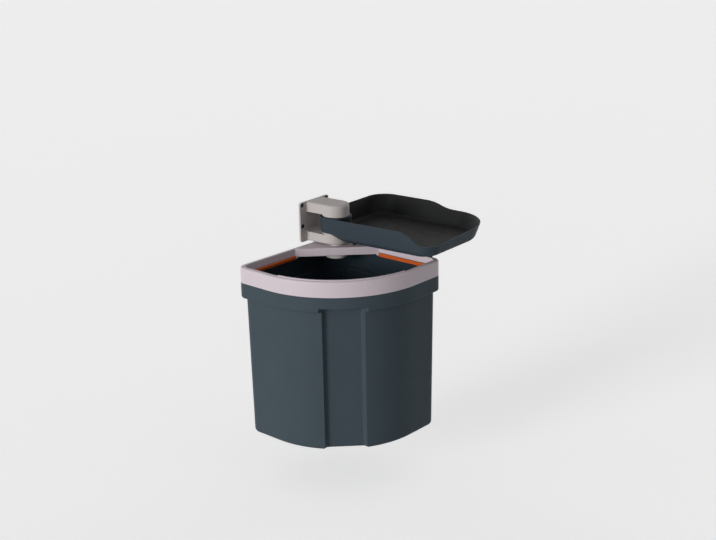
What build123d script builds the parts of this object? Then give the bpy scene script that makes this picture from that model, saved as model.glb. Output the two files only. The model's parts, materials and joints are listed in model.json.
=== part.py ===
from build123d import *
from math import cos, radians, sin
import os

# Swing-out waste bin for fitted kitchens, in millimetres.
# The origin is the centre of the bracket's screw pattern, on the upright wall that it is screwed to.
# +X points away from that wall, +Y backwards, +Z up.
# The bin is shown swung out to the front, and the tray lid swung in to the back.

# Wall bracket: a plate with an upper and a lower jaw
PATTERN_WIDTH = 84.0
PATTERN_HEIGHT = 48.0
SCREW_HOLE_RADIUS = 2.75
SCREW_HEAD_RADIUS = 5.2
SCREW_SINK_DEPTH = 2.5
PLATE_WIDTH = 100.0
PLATE_THICKNESS = 4.0
PLATE_CORNER = 6.0
JAW_DROP = 15.0
PIVOT_OUT = 65.0
BOSS_RADIUS = 30.0
BOSS_STEP = 5.0
JAW_THICKNESS = 22.0
JAW_GAP = 36.0
JAW_ROOT_FILLET = 6.0
JAW_EDGE_FILLET = 6.0

# Axle and what holds it
AXLE_RADIUS = 8.0
AXLE_ENTRY = 19.0
AXLE_CHAMFER = 1.0
AXLE_FLAT_DEPTH = 0.5
AXLE_FLAT_LENGTH = 12.0
LOCK_SCREW_RADIUS = 3.0
LOCK_SCREW_LENGTH = 12.0
HEX_KEY_RADIUS = 1.7
HEX_KEY_DEPTH = 3.0
RUNNING_CLEARANCE = 0.05
FACE_CLEARANCE = 0.2

# Tray lid, measured from the pivot
LID_FRONT = 35.0
LID_RIGHT = 285.0
LID_BACK = 221.0
LID_LEFT = 43.0
LID_LEFT_END = 82.0
LID_FRONT_CORNER = 38.0
LID_FAR_CORNER = 92.0
LID_LEFT_CORNER = 45.0
LID_FLARE = 13.0
LID_LEFT_FLARE = 8.0
LID_DEPTH = 48.0
LID_WALL = 2.5
LID_STEP_FRONT_DROP = 24.0
LID_STEP_BACK_DROP = 12.0
LID_STEP_LENGTH = 68.0
LID_STEP_PLACE = 227.0
LID_STEP_ANGLE = 21.0
LID_RELIEF_RADIUS = 36.5
LID_RELIEF_SPREAD = 22.0
LID_FLOOR_FILLET = 8.0
LID_EDGE_FILLET = LID_FLOOR_FILLET + LID_WALL
LID_BUSH_WALL = 2.0
LID_BUSH_LENGTH = 12.0
LID_BUSH_FLANGE = 5.0
LID_BUSH_FLANGE_THICKNESS = 0.8
BUFFER_RADIUS = 4.5
BUFFER_HEIGHT = 5.0
BUFFER_EDGE_FILLET = 1.5
BUFFER_STEM_RADIUS = 1.5
NEAR_BUFFER = (66.0, -19.5)
FAR_BUFFER = (254.0, 0.0)

# Plan of the bin, measured from the pivot along its line of symmetry
BIN_ANGLE = -49.0
SWING = 94.0
BOW_CENTRE = 66.0
BOW_RADIUS = 212.0
BOW_HALF_ANGLE = 46.0
SIDE_ANGLE = 45.0
SIDE_DISTANCE = 54.0
APEX_BACK = 45.0
OUTER_CORNER = 22.0
APEX_CORNER = 14.0

# Swing frame
FRAME_BELOW_JAW = 4.0
FRAME_HEIGHT = 34.0
FRAME_WALL = 2.5
RIM_WIDTH = 10.0
RIM_EDGE_FILLET = 4.5
FUNNEL_DEPTH = 16.5
FUNNEL_LEAN = 4.0
MOUTH_BACK = 32.0
LIP_HEIGHT = 2.0
LIP_WIDTH = 3.5
LIP_HALF_ANGLE = 40.0
HUB_PAD_RADIUS = 38.0
HUB_PAD_THICKNESS = 6.0
RIB_THICKNESS = 2.5
RIB_DEPTH = 14.0
RIB_ANGLES = (60.0, 75.0, -60.0, -75.0)
STOP_PIN_RADIUS = 2.5
STOP_PIN_LENGTH = 11.0
STOP_PIN_CIRCLE = 26.0
STOP_PIN_ANGLE = 150.0
STOP_SLOT_DEPTH = 3.0
STOP_SLOT_SPARE = 2.0

# Hub of the swing frame
HUB_FLANGE_RADIUS = 36.0
HUB_FLANGE_GAP = 1.0
HUB_FLANGE_THICKNESS = 4.0
HUB_RADIUS = 25.0
HUB_DEPTH = 18.0
HUB_RECESS_RADIUS = 17.0
HUB_EDGE_FILLET = 1.5
HUB_BUSH_WALL = 2.5
HUB_BUSH_LENGTH = 10.0
HUB_BUSH_FLANGE_RADIUS = 16.0
HUB_BUSH_FLANGE_THICKNESS = 1.5
THRUST_WASHER_THICKNESS = 1.4
RETAINING_WASHER_THICKNESS = 2.0
RETAINING_SCREW_RADIUS = 4.0
RETAINING_SCREW_LENGTH = 20.0
RETAINING_HEAD_RADIUS = 7.0
RETAINING_HEAD_HEIGHT = 4.0
RETAINING_HEAD_FILLET = 2.0
RETAINING_KEY_RADIUS = 2.8
RETAINING_KEY_DEPTH = 3.0
HUB_CAP_THICKNESS = 1.8
HUB_SCREW_CIRCLE = 31.0
HUB_SCREW_ANGLES = (70.0, 140.0, 220.0, 290.0)
HUB_SCREW_RADIUS = 2.0
HUB_SCREW_HEAD_RADIUS = 4.2
HUB_SCREW_HEAD_HEIGHT = 3.0
HUB_SCREW_HEAD_FILLET = 1.0
HUB_SCREW_KEY_DEPTH = 1.5
HUB_SCREW_GRIP = 4.5

# Bag bars along the two straight sides of the mouth
BAR_START = 92.0
BAR_CORNER_GAP = 22.0
BAR_BLADE = 3.0
BAR_HEIGHT = 5.5
BAR_EDGE_FILLET = 1.0
BAR_EYE_RADIUS = 2.8
BAR_PIN_RADIUS = 1.5
BAR_PIN_GRIP = 8.0
BAR_INSET = 15.0
BAR_SEAT_DEPTH = 3.0
LUG_LENGTH = 6.0
LUG_REACH = 3.2
LUG_DEPTH = 3.5
LUG_CORNER = 1.6

# Bucket
COLLAR_HEIGHT = 34.0
COLLAR_GAP = 0.3
COLLAR_FOOT_FILLET = 4.0
BUCKET_DEPTH = 346.0
BUCKET_WALL = 2.5
BUCKET_FLOOR = 4.5
FOOT_RECESS_DEPTH = 2.0
FOOT_RECESS_INSET = 24.0
BODY_INSET = 9.5
BODY_DRAFT = 3.0
BODY_CORNER = 18.0
BODY_FOOT_CORNER = 20.0
BODY_FOOT_FILLET = 10.0
TONGUE_GAP = 0.5
TONGUE_THICKNESS = 2.2
TONGUE_HEIGHT = 22.0
GRIP_WIDTH = 98.0
GRIP_PANEL_WIDTH = 75.0
GRIP_DEPTH = 14.0
GRIP_INTO_COLLAR = 10.0
GRIP_TOP_CORNER = 3.0
GRIP_PANEL_FILLET = 4.0

# Reach of the straight sides to the bin's outer corners, and the bag bars that end before them
SIDE_REACH = BOW_CENTRE * cos(radians(BOW_HALF_ANGLE)) + BOW_RADIUS
BAR_LENGTH = SIDE_REACH - BAR_CORNER_GAP - LUG_LENGTH - BAR_START

# Levels worked out from the sizes above
JAW_MID = -JAW_DROP
BOSS_TOP = JAW_MID + JAW_GAP / 2
BOSS_BOTTOM = JAW_MID - JAW_GAP / 2
BRACKET_HEIGHT = JAW_GAP + 2 * BOSS_STEP + 2 * JAW_THICKNESS
BRACKET_TOP = JAW_MID + BRACKET_HEIGHT / 2
BRACKET_BOTTOM = JAW_MID - BRACKET_HEIGHT / 2
LID_HUB_TOP = BOSS_TOP - LID_BUSH_FLANGE_THICKNESS - FACE_CLEARANCE
LID_HUB_BOTTOM = BOSS_BOTTOM + LID_BUSH_FLANGE_THICKNESS + FACE_CLEARANCE
LID_BOTTOM = LID_HUB_TOP - LID_DEPTH
FRAME_TOP = BRACKET_BOTTOM - FRAME_BELOW_JAW
FRAME_BOTTOM = FRAME_TOP - FRAME_HEIGHT
FUNNEL_BOTTOM = FRAME_TOP - FUNNEL_DEPTH
BAR_SEAT = FUNNEL_BOTTOM + BAR_SEAT_DEPTH
BAR_LEVEL = BAR_SEAT - FACE_CLEARANCE - BAR_EYE_RADIUS
HUB_TOP = FRAME_TOP - HUB_PAD_THICKNESS
HUB_BODY_TOP = HUB_TOP - HUB_FLANGE_THICKNESS
HUB_BOTTOM = HUB_BODY_TOP - HUB_DEPTH
HUB_CAP_TOP = HUB_BOTTOM + HUB_CAP_THICKNESS
SCREW_HEAD_BOTTOM = HUB_CAP_TOP + FACE_CLEARANCE
RETAINING_BOTTOM = SCREW_HEAD_BOTTOM + RETAINING_HEAD_HEIGHT
AXLE_BOTTOM = RETAINING_BOTTOM + RETAINING_WASHER_THICKNESS
THRUST_BOTTOM = AXLE_BOTTOM + FACE_CLEARANCE / 2
LOWER_BUSH_BOTTOM = THRUST_BOTTOM + THRUST_WASHER_THICKNESS + FACE_CLEARANCE / 2
HUB_RECESS_TOP = LOWER_BUSH_BOTTOM + HUB_BUSH_FLANGE_THICKNESS
AXLE_TOP = BOSS_TOP + AXLE_ENTRY
LOCK_LEVEL = BOSS_TOP + AXLE_ENTRY / 2 + BOSS_STEP
COLLAR_TOP = FRAME_BOTTOM - COLLAR_GAP
COLLAR_BOTTOM = COLLAR_TOP - COLLAR_HEIGHT
BUCKET_BOTTOM = COLLAR_TOP - BUCKET_DEPTH
TONGUE_TOP = COLLAR_TOP + TONGUE_HEIGHT
GRIP_TOP = COLLAR_BOTTOM + GRIP_INTO_COLLAR

# Room that cuts run past the material, and how near a point lies to be the one meant
PAST = 1.0
NEAR = 0.01

PIVOT = Pos(PIVOT_OUT, 0, 0)
BIN = PIVOT * Rot(0, 0, BIN_ANGLE)


def write(shape, name):
    """Save one sub-part under its own name."""
    export_step(shape, f"parts/{name}.step")


def rod(radius, bottom, top):
    """Upright cylinder about the pivot between two levels."""
    return Pos(0, 0, bottom) * extrude(Circle(radius), top - bottom)


def tube(inner, outer, bottom, top):
    """Upright tube about the pivot between two levels."""
    return Pos(0, 0, bottom) * extrude(Circle(outer) - Circle(inner), top - bottom)


def block(face, bottom, top):
    """Flat outline carried up from one level to another."""
    return Pos(0, 0, bottom) * extrude(face, top - bottom)


def between(low_face, bottom, high_face, top):
    """Straight-sided body between two outlines on two levels."""
    return loft([Pos(0, 0, bottom) * low_face, Pos(0, 0, top) * high_face], ruled=True)


def turned(points):
    """Body turned about the pivot from a closed profile of radius and height points."""
    profile = make_face(Polyline(*[(r, 0, z) for r, z in points], close=True))
    return revolve(profile, Axis.Z)


def bin_outline(inset, back, corner, apex_corner):
    """Plan of the bin moved inwards by inset: a bow, two tangent cheeks, two sides and a cut-off apex."""
    radius = BOW_RADIUS - inset
    bow = radians(BOW_HALF_ANGLE)
    side = radians(SIDE_ANGLE)
    reach = SIDE_REACH - inset
    distance = SIDE_DISTANCE - inset
    spread = cos(bow - side)
    cheek = (BOW_CENTRE + radius * cos(bow), radius * sin(bow))
    tip = ((reach * cos(side) - distance * sin(bow)) / spread,
           (reach * sin(side) + distance * cos(bow)) / spread)
    apex = (back, (distance + back * sin(side)) / cos(side))
    ring = [cheek, tip, apex]
    other = [(u, -v) for u, v in reversed(ring)]
    bow_line = ThreePointArc(other[-1], (BOW_CENTRE + radius, 0), ring[0])
    face = make_face([bow_line] + Polyline(*ring, *other).edges())
    tips = [v for v in face.vertices() if abs(v.X - tip[0]) < NEAR]
    face = fillet(tips, corner)
    ends = [v for v in face.vertices() if abs(v.X - back) < NEAR]
    return fillet(ends, apex_corner)


def shell_outline(inset):
    """Outline that runs parallel to the frame's outer face."""
    return bin_outline(inset, inset - APEX_BACK, OUTER_CORNER - inset, APEX_CORNER - inset)


def mouth_outline(inset, back):
    """Outline of the frame's mouth, whose straight back wall stands in front of the hub."""
    return bin_outline(inset, back, OUTER_CORNER - RIM_WIDTH + FUNNEL_LEAN, FUNNEL_LEAN)


def body_outline(inset, corner):
    """Outline of the bucket's body."""
    return bin_outline(inset, inset - APEX_BACK, corner, corner)


def make_wall_bracket():
    """Casting with a screw plate and two jaws that end in round bosses."""
    plate_face = Pos(0, JAW_MID) * RectangleRounded(PLATE_WIDTH, BRACKET_HEIGHT, PLATE_CORNER)
    bracket = extrude(Plane.YZ * plate_face, PLATE_THICKNESS)
    arm_face = Pos(PIVOT_OUT / 2, 0) * Rectangle(PIVOT_OUT, 2 * BOSS_RADIUS)
    arm_face += Pos(PIVOT_OUT, 0) * Circle(BOSS_RADIUS)
    upper_arm = block(arm_face, BOSS_TOP + BOSS_STEP, BRACKET_TOP)
    rim = [e for e in upper_arm.edges().group_by(Axis.Z)[-1] if e.center().X > PLATE_THICKNESS]
    upper_arm = fillet(rim, JAW_EDGE_FILLET)
    lower_arm = mirror(upper_arm, Plane.XY.offset(JAW_MID))
    bracket += upper_arm
    bracket += lower_arm
    roots = [e for e in bracket.edges().filter_by(Axis.Y) if abs(e.center().X - PLATE_THICKNESS) < NEAR]
    inner = BRACKET_HEIGHT / 2 - JAW_THICKNESS + NEAR
    bracket = fillet([e for e in roots if abs(e.center().Z - JAW_MID) < inner], JAW_ROOT_FILLET)
    bracket += PIVOT * rod(BOSS_RADIUS, BOSS_TOP, BOSS_TOP + BOSS_STEP + PAST)
    bracket += PIVOT * rod(BOSS_RADIUS, BOSS_BOTTOM - BOSS_STEP - PAST, BOSS_BOTTOM)
    bracket -= PIVOT * rod(AXLE_RADIUS, BRACKET_BOTTOM - PAST, AXLE_TOP)
    lock_hole = Plane.XZ * Circle(LOCK_SCREW_RADIUS)
    bracket -= Pos(PIVOT_OUT, 0, LOCK_LEVEL) * extrude(lock_hole, -BOSS_RADIUS - PAST)
    bracket -= stop_pin()
    sink = Cone(SCREW_HOLE_RADIUS, SCREW_HEAD_RADIUS, SCREW_SINK_DEPTH)
    sink = Pos(PLATE_THICKNESS - SCREW_SINK_DEPTH / 2, 0, 0) * Rot(0, 90, 0) * sink
    hole = Rot(0, 90, 0) * Cylinder(SCREW_HOLE_RADIUS, PLATE_THICKNESS + PAST)
    hole = Pos(PLATE_THICKNESS / 2, 0, 0) * hole
    for y in (-PATTERN_WIDTH / 2, PATTERN_WIDTH / 2):
        for z in (-PATTERN_HEIGHT / 2, PATTERN_HEIGHT / 2):
            bracket -= Pos(0, y, z) * (hole + sink)
    return bracket


def make_axle():
    """Steel axle with a flat for the lock screw and a threaded hole in its lower end."""
    axle = rod(AXLE_RADIUS, AXLE_BOTTOM, AXLE_TOP)
    axle = chamfer(axle.edges().sort_by(Axis.Z)[-1], AXLE_CHAMFER)
    flat = Box(2 * AXLE_RADIUS, 2 * AXLE_FLAT_DEPTH, AXLE_FLAT_LENGTH)
    axle -= Pos(0, AXLE_RADIUS, LOCK_LEVEL) * flat
    axle -= rod(RETAINING_SCREW_RADIUS, AXLE_BOTTOM - PAST, AXLE_BOTTOM + RETAINING_SCREW_LENGTH)
    return PIVOT * axle


def make_axle_lock_screw():
    """Grub screw with a hexagon socket, pressed on the axle's flat."""
    screw = extrude(Circle(LOCK_SCREW_RADIUS), LOCK_SCREW_LENGTH)
    socket = extrude(RegularPolygon(HEX_KEY_RADIUS, 6), HEX_KEY_DEPTH)
    screw -= Pos(0, 0, LOCK_SCREW_LENGTH - HEX_KEY_DEPTH) * socket
    return Pos(PIVOT_OUT, AXLE_RADIUS - AXLE_FLAT_DEPTH, LOCK_LEVEL) * Rot(-90, 0, 0) * screw


def stop_pin():
    """Pin pressed into the lower boss, whose end runs in the frame's curved slot."""
    bottom = FRAME_TOP - STOP_SLOT_DEPTH + FACE_CLEARANCE
    pin = rod(STOP_PIN_RADIUS, bottom, bottom + STOP_PIN_LENGTH)
    return PIVOT * Rot(0, 0, STOP_PIN_ANGLE) * Pos(STOP_PIN_CIRCLE, 0, 0) * pin


def flanged_bush(wall, length, flange_radius, flange_thickness):
    """Plain bush with its flange at the top and its tube below, running on the axle."""
    bore = AXLE_RADIUS + RUNNING_CLEARANCE
    bush = tube(bore, AXLE_RADIUS + wall, -length, 0)
    return bush + tube(bore, flange_radius, 0, flange_thickness)


def lid_outline(inset, flare_share):
    """Plan of the tray about the pivot: a rounded rectangle whose near left corner runs in to the hub."""
    front = -(LID_FRONT - inset)
    right = LID_RIGHT - inset - flare_share * LID_FLARE
    back = LID_BACK - inset - flare_share * LID_FLARE
    left = -(LID_LEFT - inset - flare_share * LID_LEFT_FLARE)
    near = LID_FRONT_CORNER - inset
    far = LID_FAR_CORNER - inset
    corner = LID_LEFT_CORNER - inset
    lines = [
        Line((0, front), (right - near, front)),
        CenterArc((right - near, front + near), near, -90, 90),
        Line((right, front + near), (right, back - far)),
        CenterArc((right - far, back - far), far, 0, 90),
        Line((right - far, back), (left + corner, back)),
        CenterArc((left + corner, back - corner), corner, 90, 90),
        Line((left, back - corner), (left, LID_LEFT_END)),
        Line((left, LID_LEFT_END), (0, LID_FRONT - inset)),
        Line((0, LID_FRONT - inset), (0, front)),
    ]
    return make_face(lines)


def lid_step_profile(drop):
    """Upright face above an S-shaped line that falls by a drop."""
    half = LID_STEP_LENGTH / 2
    high = LID_HUB_TOP
    low = LID_HUB_TOP - drop
    middle = (high + low) / 2
    reach = LID_RIGHT + LID_BACK
    upper = TangentArc((-half, high), (0, middle), tangent=(1, 0))
    lower = TangentArc((half, low), (0, middle), tangent=(-1, 0))
    rest = Polyline((half, low), (reach, low), (reach, high + reach), (-half, high + reach), (-half, high))
    return make_face([upper, lower] + rest.edges())


def lid_step():
    """What the rim's step takes away: all above an S-shaped slope that is deeper at the front."""
    depth = LID_FRONT + LID_BACK
    spare = depth / 2
    slope = (LID_STEP_FRONT_DROP - LID_STEP_BACK_DROP) / depth
    front = Plane.XZ.offset(spare) * lid_step_profile(LID_STEP_FRONT_DROP + slope * spare)
    back = Plane.XZ.offset(-depth - spare) * lid_step_profile(LID_STEP_BACK_DROP - slope * spare)
    body = loft([front, back], ruled=True)
    return Pos(LID_STEP_PLACE, -LID_FRONT, 0) * Rot(0, 0, LID_STEP_ANGLE) * body


def make_lid_tray():
    """Tray lid: a flared dish round a hub, hollowed beneath to clear the lower jaw."""
    tray = between(lid_outline(0, 1), LID_BOTTOM, lid_outline(0, 0), LID_HUB_TOP)
    tray = fillet(tray.edges().group_by(Axis.Z)[0], LID_EDGE_FILLET)
    tray += rod(LID_FRONT, LID_HUB_BOTTOM, LID_HUB_TOP)
    floor = LID_BOTTOM + LID_WALL
    low = lid_outline(LID_WALL, 1)
    high = lid_outline(LID_WALL, 0)
    dish = between(low, floor, high, LID_HUB_TOP + PAST)
    dish = fillet(dish.edges().group_by(Axis.Z)[0], LID_FLOOR_FILLET)
    foot = LID_RELIEF_RADIUS + LID_RELIEF_SPREAD
    above = LID_HUB_TOP + 2 * PAST
    shoulder = LID_HUB_BOTTOM + LID_WALL
    dish -= turned([(0, above), (LID_FRONT, above), (LID_FRONT, shoulder),
                    (LID_RELIEF_RADIUS + LID_WALL, shoulder), (foot + LID_WALL, floor),
                    (foot + LID_WALL, LID_BOTTOM), (0, LID_BOTTOM)])
    tray -= dish
    tray -= turned([(0, LID_HUB_BOTTOM), (LID_RELIEF_RADIUS, LID_HUB_BOTTOM), (foot, LID_BOTTOM),
                    (foot, LID_BOTTOM - PAST), (0, LID_BOTTOM - PAST)])
    tray -= lid_step()
    tray -= rod(AXLE_RADIUS + LID_BUSH_WALL, LID_HUB_BOTTOM - PAST, LID_HUB_TOP + PAST)
    for place in (NEAR_BUFFER, FAR_BUFFER):
        tray -= Pos(*place) * rod(BUFFER_STEM_RADIUS, LID_BOTTOM - PAST, floor + PAST)
    return PIVOT * tray


def make_lid_buffers():
    """Rubber buffers under the tray's front edge, each held by a stem in the floor."""
    button = rod(BUFFER_RADIUS, LID_BOTTOM - BUFFER_HEIGHT, LID_BOTTOM)
    button = fillet(button.edges().sort_by(Axis.Z)[0], BUFFER_EDGE_FILLET)
    button += rod(BUFFER_STEM_RADIUS, LID_BOTTOM, LID_BOTTOM + LID_WALL)
    return Compound([PIVOT * Pos(*place) * button for place in (NEAR_BUFFER, FAR_BUFFER)])


def side_frame(side):
    """Place on a straight side: X along the side, Y outwards, at the foot of the line from the pivot."""
    flip = Rot(0, 0, SIDE_ANGLE) if side > 0 else Rot(0, 0, -SIDE_ANGLE)
    return BIN * flip


def bar_line(side):
    """How far the bag bar's pin lies from the pivot, outwards on the given side."""
    return side * (SIDE_DISTANCE - BAR_INSET)


def arc_band(centre, inner, outer, half_angle):
    """Flat curved band about a point on the bin's axis, centred on the axis."""
    start = -half_angle
    sweep_angle = 2 * half_angle
    a = radians(half_angle)
    lines = [
        CenterArc((centre, 0), outer, start, sweep_angle),
        CenterArc((centre, 0), inner, start, sweep_angle),
        Line((centre + inner * cos(a), inner * sin(a)), (centre + outer * cos(a), outer * sin(a))),
        Line((centre + inner * cos(a), -inner * sin(a)), (centre + outer * cos(a), -outer * sin(a))),
    ]
    return make_face(lines)


def make_swing_frame():
    """Ring with a deep outer skirt, a funnel round its mouth and a ribbed apex plate for the hub."""
    frame = block(shell_outline(0), FRAME_BOTTOM, FRAME_TOP)
    frame = fillet(frame.edges().group_by(Axis.Z)[-1], RIM_EDGE_FILLET)
    frame -= block(shell_outline(FRAME_WALL), FRAME_BOTTOM - PAST, FRAME_TOP - FRAME_WALL)
    skin = FRAME_WALL
    top = (RIM_WIDTH - skin, MOUTH_BACK - skin)
    foot = (RIM_WIDTH + FUNNEL_LEAN - skin, MOUTH_BACK + FUNNEL_LEAN - skin)
    frame += between(mouth_outline(*foot), FUNNEL_BOTTOM, mouth_outline(*top), FRAME_TOP - FRAME_WALL)
    frame += apex_ribs()
    frame += rod(HUB_PAD_RADIUS, HUB_TOP, FRAME_TOP)
    slope = FUNNEL_LEAN / FUNNEL_DEPTH * PAST
    hole_top = mouth_outline(RIM_WIDTH - slope, MOUTH_BACK - slope)
    hole_foot = mouth_outline(RIM_WIDTH + FUNNEL_LEAN + slope, MOUTH_BACK + FUNNEL_LEAN + slope)
    frame -= between(hole_foot, FUNNEL_BOTTOM - PAST, hole_top, FRAME_TOP + PAST)
    lip_outer = BOW_RADIUS - RIM_WIDTH + LIP_WIDTH
    lip = arc_band(BOW_CENTRE, BOW_RADIUS - RIM_WIDTH, lip_outer, LIP_HALF_ANGLE)
    frame += block(lip, FRAME_TOP - FRAME_WALL, FRAME_TOP + LIP_HEIGHT)
    frame -= rod(AXLE_RADIUS + HUB_BUSH_WALL, HUB_TOP - PAST, FRAME_TOP + PAST)
    frame -= stop_slot()
    for place in hub_screw_places():
        frame -= place * rod(HUB_SCREW_RADIUS, HUB_TOP - PAST, HUB_TOP + HUB_SCREW_GRIP)
    frame = BIN * frame
    for side in (-1, 1):
        frame += bar_lugs(side)
        frame -= bar_seat(side)
        frame -= bar_pins(side)
    return frame


def apex_ribs():
    """Ribs that stand under the apex plate and run from the hub pad to the funnel and the skirt."""
    level = FRAME_TOP - FRAME_WALL - RIB_DEPTH
    inner = shell_outline(FRAME_WALL + TONGUE_GAP + TONGUE_THICKNESS + TONGUE_GAP)
    room = block(inner, level, FRAME_TOP - FRAME_WALL)
    room -= rod(HUB_PAD_RADIUS - PAST, level - PAST, FRAME_TOP)
    back_wall = MOUTH_BACK + FUNNEL_LEAN
    half_plane = Pos(back_wall - BOW_RADIUS, 0) * Rectangle(2 * BOW_RADIUS, 4 * BOW_RADIUS)
    ribs = Part()
    for angle in RIB_ANGLES:
        rib = Rot(0, 0, angle) * Pos(BOW_RADIUS / 2, 0, 0) * Rectangle(BOW_RADIUS, RIB_THICKNESS)
        ribs += block(rib, level, FRAME_TOP - FRAME_WALL)
    return ribs & room & block(half_plane, level, FRAME_TOP)


def stop_slot():
    """Curved slot in the apex plate that the stop pin runs in over the whole swing."""
    width = 2 * STOP_PIN_RADIUS + FACE_CLEARANCE
    start = STOP_PIN_ANGLE - BIN_ANGLE - SWING - STOP_SLOT_SPARE
    sweep_angle = SWING + 2 * STOP_SLOT_SPARE
    inner = STOP_PIN_CIRCLE - width / 2
    outer = STOP_PIN_CIRCLE + width / 2
    slot = arc_band(0, inner, outer, sweep_angle / 2)
    for end in (-1, 1):
        slot += Rot(0, 0, end * sweep_angle / 2) * Pos(STOP_PIN_CIRCLE, 0) * Circle(width / 2)
    slot = Rot(0, 0, start + sweep_angle / 2) * slot
    return block(slot, FRAME_TOP - STOP_SLOT_DEPTH, FRAME_TOP + PAST)


def bar_lugs(side):
    """Two lugs under the funnel that hold a bag bar's pins."""
    out = bar_line(side)
    height = BAR_SEAT - BAR_LEVEL + LUG_DEPTH
    lug_face = RectangleRounded(2 * LUG_REACH, height, LUG_CORNER)
    lug = extrude(Plane.YZ * Pos(0, BAR_SEAT - height / 2) * lug_face, LUG_LENGTH)
    first = Pos(BAR_START - LUG_LENGTH - FACE_CLEARANCE, out, 0) * lug
    second = Pos(BAR_START + BAR_LENGTH + FACE_CLEARANCE, out, 0) * lug
    return [side_frame(side) * first, side_frame(side) * second]


def bar_seat(side):
    """Room that the funnel's lower edge leaves for a bag bar between its lugs."""
    length = BAR_LENGTH + 2 * FACE_CLEARANCE
    room = Box(length, 4 * LUG_REACH, 2 * BAR_SEAT_DEPTH)
    start = BAR_START - FACE_CLEARANCE + length / 2
    return side_frame(side) * Pos(start, bar_line(side), BAR_SEAT - BAR_SEAT_DEPTH) * room


def make_bag_bar(side):
    """Blade that hangs from a round eye along its upper edge, bored at both ends for the pins."""
    face = Circle(BAR_EYE_RADIUS)
    blade = RectangleRounded(BAR_BLADE, BAR_HEIGHT, BAR_EDGE_FILLET)
    face += Pos(0, -BAR_HEIGHT / 2) * blade
    bar = extrude(Plane.YZ * face, BAR_LENGTH)
    bore = extrude(Plane.YZ * Circle(BAR_PIN_RADIUS + RUNNING_CLEARANCE), BAR_PIN_GRIP + FACE_CLEARANCE)
    bar -= bore
    bar -= Pos(BAR_LENGTH - BAR_PIN_GRIP - FACE_CLEARANCE, 0, 0) * bore
    return side_frame(side) * Pos(BAR_START, bar_line(side), BAR_LEVEL) * bar


def bar_pins(side):
    """Two short pins, pressed into the lugs of a bag bar."""
    length = LUG_LENGTH + FACE_CLEARANCE + BAR_PIN_GRIP
    pin = extrude(Plane.YZ * Circle(BAR_PIN_RADIUS), length)
    starts = (BAR_START - LUG_LENGTH - FACE_CLEARANCE, BAR_START + BAR_LENGTH - BAR_PIN_GRIP)
    return [side_frame(side) * Pos(start, bar_line(side), BAR_LEVEL) * pin for start in starts]


def hub_screw_places():
    """Places of the hub's screws about the pivot, clear of the mouth's back wall."""
    return [Rot(0, 0, angle) * Pos(HUB_SCREW_CIRCLE, 0, 0) for angle in HUB_SCREW_ANGLES]


def make_hub_housing():
    """Cast hub with a screwed flange, a bore for two bushes and a recess for the axle's end."""
    front = MOUTH_BACK - FRAME_WALL - HUB_FLANGE_GAP
    room = Pos(front - HUB_FLANGE_RADIUS, 0) * Rectangle(2 * HUB_FLANGE_RADIUS, 2 * HUB_FLANGE_RADIUS)
    hub = block(Circle(HUB_FLANGE_RADIUS) & room, HUB_BODY_TOP, HUB_TOP)
    hub += rod(HUB_RADIUS, HUB_BOTTOM, HUB_TOP)
    hub = fillet(hub.edges().group_by(Axis.Z)[0], HUB_EDGE_FILLET)
    hub -= rod(AXLE_RADIUS + HUB_BUSH_WALL, HUB_BOTTOM - PAST, HUB_TOP + PAST)
    hub -= rod(HUB_RECESS_RADIUS, HUB_BOTTOM - PAST, HUB_RECESS_TOP)
    for place in hub_screw_places():
        hub -= place * rod(HUB_SCREW_RADIUS, HUB_BODY_TOP - PAST, HUB_TOP + PAST)
    return BIN * hub


def make_hub_screws():
    """Screws from below through the hub's flange into the frame's pad."""
    screw = rod(HUB_SCREW_RADIUS, HUB_BODY_TOP, HUB_TOP + HUB_SCREW_GRIP)
    head_bottom = HUB_BODY_TOP - HUB_SCREW_HEAD_HEIGHT
    head = rod(HUB_SCREW_HEAD_RADIUS, head_bottom, HUB_BODY_TOP)
    head = fillet(head.edges().sort_by(Axis.Z)[0], HUB_SCREW_HEAD_FILLET)
    socket = RegularPolygon(HEX_KEY_RADIUS, 6)
    screw += head - block(socket, head_bottom - PAST, head_bottom + HUB_SCREW_KEY_DEPTH)
    return Compound([BIN * place * screw for place in hub_screw_places()])


def make_hub_bush_upper():
    """Upper bush of the hub, whose flange keeps the frame off the lower jaw."""
    flange = FRAME_BELOW_JAW - FACE_CLEARANCE
    bush = flanged_bush(HUB_BUSH_WALL, HUB_BUSH_LENGTH, HUB_BUSH_FLANGE_RADIUS, flange)
    return BIN * Pos(0, 0, FRAME_TOP) * bush


def make_hub_bush_lower():
    """Lower bush of the hub, flange down."""
    length = FRAME_TOP - HUB_BUSH_LENGTH - HUB_RECESS_TOP - PAST
    flange = HUB_RECESS_RADIUS - FACE_CLEARANCE
    bush = flanged_bush(HUB_BUSH_WALL, length, flange, HUB_BUSH_FLANGE_THICKNESS)
    return BIN * Pos(0, 0, HUB_RECESS_TOP) * Rot(180, 0, 0) * bush


def make_retaining_screw():
    """Button-head screw that closes the axle's lower end."""
    screw = rod(RETAINING_SCREW_RADIUS, RETAINING_BOTTOM, AXLE_BOTTOM + RETAINING_SCREW_LENGTH)
    head = rod(RETAINING_HEAD_RADIUS, SCREW_HEAD_BOTTOM, RETAINING_BOTTOM)
    head = fillet(head.edges().sort_by(Axis.Z)[0], RETAINING_HEAD_FILLET)
    socket = RegularPolygon(RETAINING_KEY_RADIUS, 6)
    head -= block(socket, SCREW_HEAD_BOTTOM - PAST, SCREW_HEAD_BOTTOM + RETAINING_KEY_DEPTH)
    return PIVOT * (screw + head)


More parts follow.
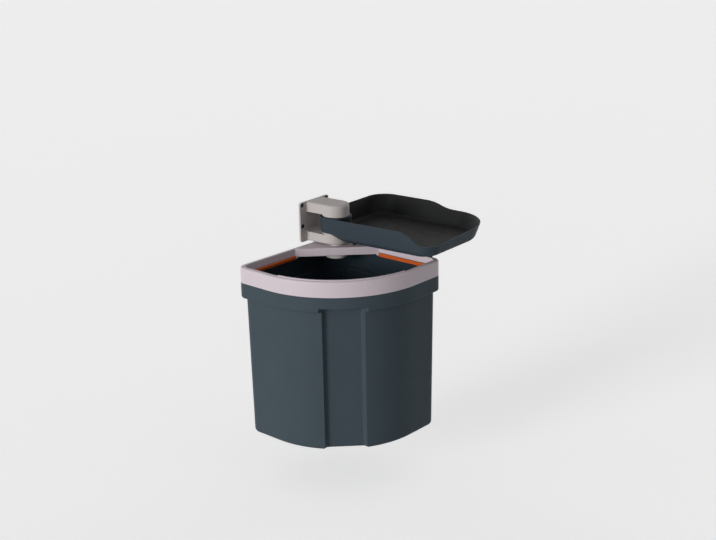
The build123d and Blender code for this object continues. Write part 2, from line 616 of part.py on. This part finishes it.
def grip_plan(wall, front):
    """Plan of the grip recess grown by a wall: a trapezoid with round inner corners, open to the bow."""
    half_width = GRIP_WIDTH / 2 + wall
    half_panel = GRIP_PANEL_WIDTH / 2 + wall
    back = front - GRIP_DEPTH - wall
    past = GRIP_DEPTH + BODY_INSET
    flare = (half_width - half_panel) / GRIP_DEPTH * past
    points = [(back, -half_panel), (back, half_panel), (front + past, half_width + flare),
              (front + past, -half_width - flare)]
    face = make_face(Polyline(*points, close=True))
    inner = [v for v in face.vertices() if abs(v.X - back) < NEAR]
    return fillet(inner, GRIP_PANEL_FILLET + wall)


def grip_body(wall, top, bottom):
    """Recess that follows the bucket's draft, grown by a wall for the inside."""
    front_top = BOW_CENTRE + BOW_RADIUS - BODY_INSET
    front_foot = front_top - BODY_DRAFT
    recess = between(grip_plan(wall, front_foot), bottom, grip_plan(wall, front_top), top)
    rim = recess.edges().group_by(Axis.Z)[-1].sort_by(Axis.X)[:-1]
    return fillet(rim, GRIP_TOP_CORNER + wall)


def make_bucket():
    """Drafted bucket with a collar under the frame, a tongue inside it and a grip recess in the bow."""
    body = between(body_outline(BODY_INSET + BODY_DRAFT, BODY_FOOT_CORNER), BUCKET_BOTTOM,
                   body_outline(BODY_INSET, BODY_CORNER), COLLAR_BOTTOM)
    recess = grip_body(0, GRIP_TOP, BUCKET_BOTTOM - PAST)
    body -= recess
    outer = fillet(body.edges().group_by(Axis.Z)[0], BODY_FOOT_FILLET)
    collar = block(shell_outline(0), COLLAR_BOTTOM, COLLAR_TOP)
    collar = fillet(collar.edges().group_by(Axis.Z)[0], COLLAR_FOOT_FILLET)
    outer += collar - recess
    tongue = FRAME_WALL + TONGUE_GAP
    outer += block(shell_outline(tongue), COLLAR_TOP, TONGUE_TOP)
    foot = body_outline(BODY_INSET + BODY_DRAFT + FOOT_RECESS_INSET, BODY_CORNER)
    outer -= block(foot, BUCKET_BOTTOM - PAST, BUCKET_BOTTOM + FOOT_RECESS_DEPTH)
    low = body_outline(BODY_INSET + BODY_DRAFT + BUCKET_WALL, BODY_FOOT_CORNER - BUCKET_WALL)
    high = body_outline(BODY_INSET + BUCKET_WALL, BODY_CORNER - BUCKET_WALL)
    shelf = COLLAR_BOTTOM + BUCKET_WALL
    brow = COLLAR_TOP - BUCKET_WALL
    back_of_recess = grip_body(BUCKET_WALL, GRIP_TOP + BUCKET_WALL, BUCKET_BOTTOM - PAST)
    inside = between(low, BUCKET_BOTTOM + BUCKET_FLOOR, high, shelf) - back_of_recess
    inside = fillet(inside.edges().group_by(Axis.Z)[0], BODY_FOOT_FILLET - BUCKET_WALL)
    room = block(shell_outline(BUCKET_WALL), shelf, brow)
    room = fillet(room.edges().group_by(Axis.Z)[0], COLLAR_FOOT_FILLET - BUCKET_WALL)
    inside += room - back_of_recess
    inside += block(shell_outline(tongue + TONGUE_THICKNESS), brow - PAST, TONGUE_TOP + PAST)
    return BIN * (outer - inside)


os.makedirs("parts", exist_ok=True)
write(make_wall_bracket(), "wall_bracket")
write(make_axle(), "axle")
write(make_axle_lock_screw(), "axle_lock_screw")
write(stop_pin(), "swing_stop_pin")
write(make_lid_tray(), "lid_tray")
lid_bush = flanged_bush(LID_BUSH_WALL, LID_BUSH_LENGTH, AXLE_RADIUS + LID_BUSH_WALL + LID_BUSH_FLANGE,
                        LID_BUSH_FLANGE_THICKNESS)
write(PIVOT * Pos(0, 0, LID_HUB_TOP) * lid_bush, "lid_bush_upper")
write(PIVOT * Pos(0, 0, LID_HUB_BOTTOM) * Rot(180, 0, 0) * lid_bush, "lid_bush_lower")
write(make_lid_buffers(), "lid_buffers")
write(make_swing_frame(), "swing_frame")
write(make_hub_housing(), "hub_housing")
write(make_hub_screws(), "hub_screws")
write(make_hub_bush_upper(), "hub_bush_upper")
write(make_hub_bush_lower(), "hub_bush_lower")
washer_bore = AXLE_RADIUS + FACE_CLEARANCE
washer_edge = HUB_RECESS_RADIUS - FACE_CLEARANCE
thrust = tube(washer_bore, washer_edge, THRUST_BOTTOM, THRUST_BOTTOM + THRUST_WASHER_THICKNESS)
write(PIVOT * thrust, "thrust_washer")
write(PIVOT * tube(RETAINING_SCREW_RADIUS, washer_edge, RETAINING_BOTTOM, AXLE_BOTTOM), "retaining_washer")
write(make_retaining_screw(), "retaining_screw")
write(BIN * rod(HUB_RECESS_RADIUS, HUB_BOTTOM, HUB_CAP_TOP), "hub_cap")
write(make_bag_bar(-1), "bag_bar_left")
write(make_bag_bar(1), "bag_bar_right")
write(Compound(bar_pins(-1) + bar_pins(1)), "bag_bar_pins")
write(make_bucket(), "bucket")
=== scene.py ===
import json
from math import cos, pi, radians, sin

import bmesh
import bpy
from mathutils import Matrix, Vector


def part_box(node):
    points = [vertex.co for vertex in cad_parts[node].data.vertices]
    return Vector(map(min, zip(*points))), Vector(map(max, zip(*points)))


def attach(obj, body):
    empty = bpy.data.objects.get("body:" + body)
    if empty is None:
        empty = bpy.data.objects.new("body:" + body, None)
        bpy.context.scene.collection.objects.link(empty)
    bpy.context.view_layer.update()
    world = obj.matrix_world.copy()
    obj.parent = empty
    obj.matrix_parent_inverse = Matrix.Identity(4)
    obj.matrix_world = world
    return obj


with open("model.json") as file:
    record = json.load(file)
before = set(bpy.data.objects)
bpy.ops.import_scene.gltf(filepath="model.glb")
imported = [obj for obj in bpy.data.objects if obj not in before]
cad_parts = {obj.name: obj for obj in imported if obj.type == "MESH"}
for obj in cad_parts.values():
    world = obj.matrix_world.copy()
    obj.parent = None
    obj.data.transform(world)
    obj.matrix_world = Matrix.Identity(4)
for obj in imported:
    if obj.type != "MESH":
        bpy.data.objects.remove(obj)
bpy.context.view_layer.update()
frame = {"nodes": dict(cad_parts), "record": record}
nodes = frame["nodes"]

MILLIMETRE = 0.001
WHITE = (1, 1, 1, 1)

# Countersunk screws in the bracket's plate, in metres
SCREW_FACE = 0.0038
SCREW_HEAD_RADIUS = 0.0049
SCREW_HEAD_HEIGHT = 0.0022
SCREW_SHANK_RADIUS = 0.0025
SCREW_SIDES = 32
CROSS_REACH = 0.0024
CROSS_HALF_WIDTH = 0.0006
CROSS_DEPTH = 0.0016

# Camera at the photograph's viewing angle, fitted to the bin's edges: metres, and degrees about X, Y and Z
CAMERA_PLACE = (1.8658, -2.2391, 0.7817)
CAMERA_TURN = (72.4534, 1.0740, 37.5446)
CAMERA_SENSOR = 36.0
CAMERA_LENS = 67.6324
CAMERA_REACH = 100.0

# Lamps: degrees round from +X, degrees up from level, and strength
LAMPS = {"key": (-99, 9, 2.3), "fill": (75, 6, 0.6), "back": (175, 5, 0.9)}
LAMP_SPREAD = 24

# Strength of the surroundings as light, at eye level and overhead, and as they are seen
LIGHT_AROUND = 0.38
LIGHT_ABOVE = 0.18
SURROUND_SEEN = 0.82

# Floor that the bin hangs above: metres, then screen greys, and glow where it is seen
FLOOR_LEVEL = -0.553
FLOOR_HALF = 30.0
FLOOR_CLOUD = 0.7
FLOOR_GREY = 226
FLOOR_MOTTLE = 3
FLOOR_SPECULAR = 0.2
FLOOR_ROUGHNESS = 0.8
FLOOR_GLOSS_SPREAD = 0.05
FLOOR_LIFT = 0.50

# Points in the tray and the bucket, as shares of their heights, which their inner faces look towards. Faces
# that look towards them get a darker tone, which is painted shade.
LID_INNER_SHARE = 1 / 3
BUCKET_INNER_SHARE = 1 / 2
FACING_BLEND = 0.002

# Moulded plastic. Patterns and depths of relief are in metres here and below, and a stretch under 1 draws
# marks out along that axis. Levels are those of the noise between which a mark sets in.
FLOW_CLOUD = 0.07
FLOW_DEPTH = 0.002
FLOW_STRENGTH = 0.03
GRAIN = 0.0005
GRAIN_DEPTH = 0.0003
GRAIN_STRENGTH = 0.10
MOULD_GLOSS_PATCH = 0.017
MOULD_GLOSS_SPREAD = 0.06
RUB_MARK = 0.011
RUB_STRETCH = (1.0, 1.0, 0.25)
RUB_LEVELS = (0.62, 0.78)
RUB_COVER = 0.18
RUB_TONE = 1.25

# Painted castings
PAINT_SPECULAR = 0.12
PAINT_CLOUD = 0.045
PAINT_TONES = (0.95, 1.04)
PAINT_PEEL = 0.0024
PAINT_PEEL_DEPTH = 0.0004
PAINT_PEEL_STRENGTH = 0.10
PAINT_GLOSS_PATCH = 0.008
PAINT_GLOSS_SPREAD = 0.07
WORN_SPOT = 0.004
WORN_LEVELS = (0.69, 0.74)
WORN_COVER = 0.3
WORN_TONE = 0.6

# Steel
STEEL_LINE = 0.0011
STEEL_LINE_DEPTH = 0.0002
STEEL_LINE_STRENGTH = 0.08
STEEL_STRETCH = (1.0, 1.0, 0.04)
STEEL_TONES = (0.86, 1.1)
STEEL_GLOSS_SPREAD = 0.09

# Levels that most of a noise lies between
NOISE_LEVELS = (0.3, 0.7)

# Sockets of a mix node that take and give colours
MIX_FIRST = 6
MIX_SECOND = 7
MIX_RESULT = 2


def linear(red, green, blue):
    """Linear colour from screen values of 0 to 255."""
    out = []
    for value in (red, green, blue):
        v = value / 255
        out.append(v / 12.92 if v <= 0.04045 else ((v + 0.055) / 1.055) ** 2.4)
    return (*out, 1.0)


def grey(value):
    """Linear grey from a screen value."""
    return linear(value, value, value)


def shade(colour, share):
    """A darker or lighter tone of a colour."""
    return tuple(min(1.0, c * share) for c in colour[:3]) + (1.0,)


def inner_point(node, share):
    """Point over the middle of a vessel's plan, at a share of its height."""
    low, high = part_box(node)
    point = (low + high) / 2
    point.z = low.z + share * (high.z - low.z)
    return point


def seen_rays(tree):
    """1 for rays that show a surface, straight or by reflection, and 0 for those that carry light."""
    rays = tree.nodes.new("ShaderNodeLightPath")
    seen = rays.outputs["Is Camera Ray"]
    for kind in ("Is Glossy Ray", "Is Transmission Ray"):
        either = tree.nodes.new("ShaderNodeMath")
        either.operation = "MAXIMUM"
        tree.links.new(seen, either.inputs[0])
        tree.links.new(rays.outputs[kind], either.inputs[1])
        seen = either.outputs["Value"]
    return seen


class Look:
    """A node material whose patterns are laid out in metres in the object's own frame."""

    def __init__(self, name, colour, metallic=0.0, specular=0.5):
        self.material = bpy.data.materials.new(name)
        self.material.use_nodes = True
        self.material.diffuse_color = colour
        self.tree = self.material.node_tree
        self.shader = self.tree.nodes["Principled BSDF"]
        self.shader.inputs["Metallic"].default_value = metallic
        self.shader.inputs["Specular IOR Level"].default_value = specular
        coordinates = self.tree.nodes.new("ShaderNodeTexCoord")
        self.place = coordinates.outputs["Object"]
        self.normal = coordinates.outputs["Normal"]

    def link(self, source, target):
        self.tree.links.new(source, target)

    def noise(self, size, detail, stretch=None):
        """Noise with patches of about a size in metres, drawn out along an axis if asked."""
        place = self.place
        if stretch:
            mapping = self.tree.nodes.new("ShaderNodeMapping")
            mapping.inputs["Scale"].default_value = stretch
            self.link(place, mapping.inputs["Vector"])
            place = mapping.outputs["Vector"]
        node = self.tree.nodes.new("ShaderNodeTexNoise")
        node.inputs["Scale"].default_value = 1 / size
        node.inputs["Detail"].default_value = detail
        self.link(place, node.inputs["Vector"])
        return node.outputs["Fac"]

    def facing(self, point):
        """1 on faces that look towards a point, as a vessel's inner walls do, and 0 on those that look away.
        It places the painted shade in a vessel.
        """
        way = self.tree.nodes.new("ShaderNodeVectorMath")
        way.operation = "SUBTRACT"
        way.inputs[0].default_value = point
        self.link(self.place, way.inputs[1])
        towards = self.tree.nodes.new("ShaderNodeVectorMath")
        towards.operation = "DOT_PRODUCT"
        self.link(way.outputs["Vector"], towards.inputs[0])
        self.link(self.normal, towards.inputs[1])
        return self.ramp(towards.outputs["Value"], -FACING_BLEND, FACING_BLEND)

    def ramp(self, source, low, high, start=0.0, end=1.0):
        """Maps a range of a pattern to another range."""
        node = self.tree.nodes.new("ShaderNodeMapRange")
        node.inputs["From Min"].default_value = low
        node.inputs["From Max"].default_value = high
        node.inputs["To Min"].default_value = start
        node.inputs["To Max"].default_value = end
        self.link(source, node.inputs["Value"])
        return node.outputs["Result"]

    def gloss(self, pattern, roughness, spread):
        """Roughness that wanders by a spread to either side with a pattern."""
        return self.ramp(pattern, *NOISE_LEVELS, roughness - spread, roughness + spread)

    def mix(self, share, first, second):
        """Blend of two colours, each a plain colour or a socket."""
        node = self.tree.nodes.new("ShaderNodeMix")
        node.data_type = "RGBA"
        self.link(share, node.inputs["Factor"])
        for value, index in ((first, MIX_FIRST), (second, MIX_SECOND)):
            if isinstance(value, tuple):
                node.inputs[index].default_value = value
            else:
                self.link(value, node.inputs[index])
        return node.outputs[MIX_RESULT]

    def finish(self, colour, roughness, bumps=()):
        """Joins the patterns to the shader: bumps are (pattern, strength, depth) triples."""
        self.link(colour, self.shader.inputs["Base Color"])
        self.link(roughness, self.shader.inputs["Roughness"])
        last = None
        for pattern, strength, depth in bumps:
            node = self.tree.nodes.new("ShaderNodeBump")
            node.inputs["Strength"].default_value = strength
            node.inputs["Distance"].default_value = depth
            self.link(pattern, node.inputs["Height"])
            if last:
                self.link(last, node.inputs["Normal"])
            last = node.outputs["Normal"]
        if last:
            self.link(last, self.shader.inputs["Normal"])
        return self.material


def moulded(name, colour, roughness, specular=0.3, mottle=0.05, inner_shade=None):
    """Injection-moulded plastic: fine grain, flow clouds and rub marks, and in a vessel a darker tone on the
    inner faces, which is painted shade.
    """
    look = Look(name, colour, specular=specular)
    clouds = look.noise(FLOW_CLOUD, detail=2)
    rubs = look.noise(RUB_MARK, detail=6, stretch=RUB_STRETCH)
    rubbed = look.ramp(rubs, *RUB_LEVELS, end=RUB_COVER)
    tone = look.mix(clouds, shade(colour, 1 - mottle), shade(colour, 1 + mottle))
    tone = look.mix(rubbed, tone, shade(colour, RUB_TONE))
    # The darker tone on a vessel's inner faces is painted shade, not a colour of the plastic.
    if inner_shade:
        point, inner_shade_colour = inner_shade
        tone = look.mix(look.facing(point), tone, inner_shade_colour)
    gloss = look.gloss(look.noise(MOULD_GLOSS_PATCH, detail=4), roughness, MOULD_GLOSS_SPREAD)
    grain = look.noise(GRAIN, detail=2)
    relief = [(grain, GRAIN_STRENGTH, GRAIN_DEPTH), (clouds, FLOW_STRENGTH, FLOW_DEPTH)]
    return look.finish(tone, gloss, relief)


def cast(name, colour, roughness):
    """Painted casting: orange-peel paint with a few small worn spots."""
    look = Look(name, colour, specular=PAINT_SPECULAR)
    clouds = look.noise(PAINT_CLOUD, detail=3)
    worn = look.ramp(look.noise(WORN_SPOT, detail=5), *WORN_LEVELS, end=WORN_COVER)
    tone = look.mix(clouds, *[shade(colour, share) for share in PAINT_TONES])
    tone = look.mix(worn, tone, shade(colour, WORN_TONE))
    gloss = look.gloss(look.noise(PAINT_GLOSS_PATCH, detail=3), roughness, PAINT_GLOSS_SPREAD)
    peel = look.noise(PAINT_PEEL, detail=2)
    return look.finish(tone, gloss, [(peel, PAINT_PEEL_STRENGTH, PAINT_PEEL_DEPTH)])


def metal(name, colour, roughness):
    """Turned or drawn steel with fine lines along its length."""
    look = Look(name, colour, metallic=1.0)
    lines = look.noise(STEEL_LINE, detail=3, stretch=STEEL_STRETCH)
    tone = look.mix(lines, *[shade(colour, share) for share in STEEL_TONES])
    gloss = look.gloss(lines, roughness, STEEL_GLOSS_SPREAD)
    return look.finish(tone, gloss, [(lines, STEEL_LINE_STRENGTH, STEEL_LINE_DEPTH)])


bracket_look = cast("bracket_paint", linear(190, 184, 181), roughness=0.42)
hub_look = cast("hub_paint", linear(212, 208, 204), roughness=0.45)
steel_look = metal("steel", linear(170, 170, 172), roughness=0.33)
screw_look = metal("blackened_steel", linear(48, 47, 46), roughness=0.46)
# The tray's inner faces get a darker grey than its outside: painted shade.
lid_look = moulded("lid_plastic", linear(50, 60, 68), roughness=0.58, specular=0.15,
                   inner_shade=(inner_point("lid_tray", LID_INNER_SHARE), linear(25, 26, 27)))
frame_look = moulded("frame_plastic", linear(207, 195, 202), roughness=0.42, mottle=0.02)
bar_look = moulded("bar_plastic", linear(218, 100, 40), roughness=0.40, mottle=0.04)
# The bucket's inner faces get a darker blue-grey than its outside: painted shade.
bucket_look = moulded("bucket_plastic", linear(64, 75, 82), roughness=0.5, specular=0.09,
                      inner_shade=(inner_point("bucket", BUCKET_INNER_SHARE), linear(46, 58, 66)))
bearing_look = moulded("bearing_plastic", linear(226, 223, 216), roughness=0.40, mottle=0.02)
rubber_look = moulded("rubber", grey(28), roughness=0.75, specular=0.25)

LOOKS = {
    "wall_bracket": bracket_look, "axle": steel_look, "axle_lock_screw": steel_look,
    "swing_stop_pin": steel_look, "lid_tray": lid_look, "lid_bush_upper": bearing_look,
    "lid_bush_lower": bearing_look, "lid_buffers": rubber_look, "swing_frame": frame_look,
    "hub_housing": hub_look, "hub_screws": steel_look, "hub_bush_upper": bearing_look,
    "hub_bush_lower": bearing_look, "thrust_washer": steel_look, "retaining_washer": steel_look,
    "retaining_screw": steel_look, "hub_cap": bearing_look, "bag_bar_left": bar_look,
    "bag_bar_right": bar_look, "bag_bar_pins": steel_look, "bucket": bucket_look,
}
for name, look in LOOKS.items():
    mesh = nodes[name].data
    mesh.materials.clear()
    mesh.materials.append(look)


def cross_outline(reach, half_width):
    """Corners of an upright cross, in turn."""
    arm = [(reach, -half_width), (reach, half_width), (half_width, half_width)]
    corners = []
    for turn in range(4):
        a = turn * pi / 2
        corners += [(u * cos(a) - v * sin(a), u * sin(a) + v * cos(a)) for u, v in arm]
    return corners


def make_wall_screw(name, y, z):
    """Countersunk screw with a cross recess, in one of the plate's sinks."""
    shape = bmesh.new()
    angles = [2 * pi * i / SCREW_SIDES for i in range(SCREW_SIDES)]
    circle = [(cos(a), sin(a)) for a in angles]

    def loop(points, size, x):
        return [shape.verts.new((x, y + size * u, z + size * v)) for u, v in points]

    def wall(first, second):
        for i in range(len(first)):
            j = (i + 1) % len(first)
            shape.faces.new((first[i], first[j], second[j], second[i]))

    rim = loop(circle, SCREW_HEAD_RADIUS, SCREW_FACE)
    neck = loop(circle, SCREW_SHANK_RADIUS, SCREW_FACE - SCREW_HEAD_HEIGHT)
    end = loop(circle, SCREW_SHANK_RADIUS, 0.0)
    corners = cross_outline(CROSS_REACH, CROSS_HALF_WIDTH)
    mouth = loop(corners, 1.0, SCREW_FACE)
    bed = loop(corners, 1.0, SCREW_FACE - CROSS_DEPTH)
    wall(rim, neck)
    wall(neck, end)
    wall(mouth, bed)
    shape.faces.new(end)
    shape.faces.new(bed)
    top = [edge for edge in shape.edges if all(v in rim or v in mouth for v in edge.verts)]
    bmesh.ops.triangle_fill(shape, use_beauty=True, edges=top)
    bmesh.ops.recalc_face_normals(shape, faces=shape.faces)
    mesh = bpy.data.meshes.new(name)
    shape.to_mesh(mesh)
    shape.free()
    mesh.materials.append(screw_look)
    screw = bpy.data.objects.new(name, mesh)
    bpy.context.scene.collection.objects.link(screw)
    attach(screw, "bracket")


def make_wall_screws():
    """The four screws that hold the plate to the wall, at the bracket's screw pattern."""
    pattern = next(m for m in frame["record"]["mounts"] if m["name"] == "wall_screws")["dims"]
    half_y = pattern["spacing_x_mm"] * MILLIMETRE / 2
    half_z = pattern["spacing_y_mm"] * MILLIMETRE / 2
    for i, y in enumerate((-half_y, half_y)):
        for j, z in enumerate((-half_z, half_z)):
            make_wall_screw(f"wall_screw_{i}{j}", y, z)


def make_floor():
    """Pale studio floor, a little lifted where it is seen, with the object's shadow on it."""
    mesh = bpy.data.meshes.new("floor")
    sides = ((-1, -1), (1, -1), (1, 1), (-1, 1))
    corners = [(FLOOR_HALF * x, FLOOR_HALF * y, FLOOR_LEVEL) for x, y in sides]
    mesh.from_pydata(corners, [], [(0, 1, 2, 3)])
    floor = bpy.data.objects.new("floor", mesh)
    bpy.context.scene.collection.objects.link(floor)
    look = Look("floor_paint", grey(FLOOR_GREY), specular=FLOOR_SPECULAR)
    clouds = look.noise(FLOOR_CLOUD, detail=2)
    tone = look.mix(clouds, grey(FLOOR_GREY - FLOOR_MOTTLE), grey(FLOOR_GREY + FLOOR_MOTTLE))
    gloss = look.gloss(clouds, FLOOR_ROUGHNESS, FLOOR_GLOSS_SPREAD)
    mesh.materials.append(look.finish(tone, gloss))
    look.shader.inputs["Emission Color"].default_value = WHITE
    lift = look.ramp(seen_rays(look.tree), low=0.0, high=1.0, end=FLOOR_LIFT)
    look.link(lift, look.shader.inputs["Emission Strength"])


def make_light(name, azimuth, elevation, strength):
    """Broad soft light from one side."""
    lamp = bpy.data.lights.new(name, "SUN")
    lamp.angle = radians(LAMP_SPREAD)
    lamp.energy = strength
    around, above = radians(azimuth), radians(elevation)
    towards = Vector((cos(above) * cos(around), cos(above) * sin(around), sin(above)))
    holder = bpy.data.objects.new(name, lamp)
    holder.rotation_euler = towards.to_track_quat("Z", "Y").to_euler()
    bpy.context.scene.collection.objects.link(holder)


def make_world():
    """Even soft light all round, seen as a pale background."""
    world = bpy.data.worlds.new("studio")
    bpy.context.scene.world = world
    world.use_nodes = True
    tree = world.node_tree
    background = tree.nodes["Background"]
    background.inputs["Color"].default_value = WHITE
    height = tree.nodes.new("ShaderNodeSeparateXYZ")
    tree.links.new(tree.nodes.new("ShaderNodeTexCoord").outputs["Generated"], height.inputs["Vector"])
    light = tree.nodes.new("ShaderNodeMapRange")
    light.inputs["To Min"].default_value = LIGHT_AROUND
    light.inputs["To Max"].default_value = LIGHT_ABOVE
    tree.links.new(height.outputs["Z"], light.inputs["Value"])
    strength = tree.nodes.new("ShaderNodeMapRange")
    strength.inputs["To Max"].default_value = SURROUND_SEEN
    tree.links.new(seen_rays(tree), strength.inputs["Value"])
    tree.links.new(light.outputs["Result"], strength.inputs["To Min"])
    tree.links.new(strength.outputs["Result"], background.inputs["Strength"])


def make_camera():
    """Camera that looks at the bin as the photograph does."""
    camera = bpy.data.objects.new("camera", bpy.data.cameras.new("camera"))
    camera.location = CAMERA_PLACE
    camera.rotation_euler = [radians(angle) for angle in CAMERA_TURN]
    camera.data.sensor_width = CAMERA_SENSOR
    camera.data.lens = CAMERA_LENS
    camera.data.clip_end = CAMERA_REACH
    bpy.context.scene.collection.objects.link(camera)
    bpy.context.scene.camera = camera


make_wall_screws()
make_floor()
make_world()
for name, setting in LAMPS.items():
    make_light(name, *setting)
make_camera()
bpy.context.scene.view_settings.view_transform = "Standard"
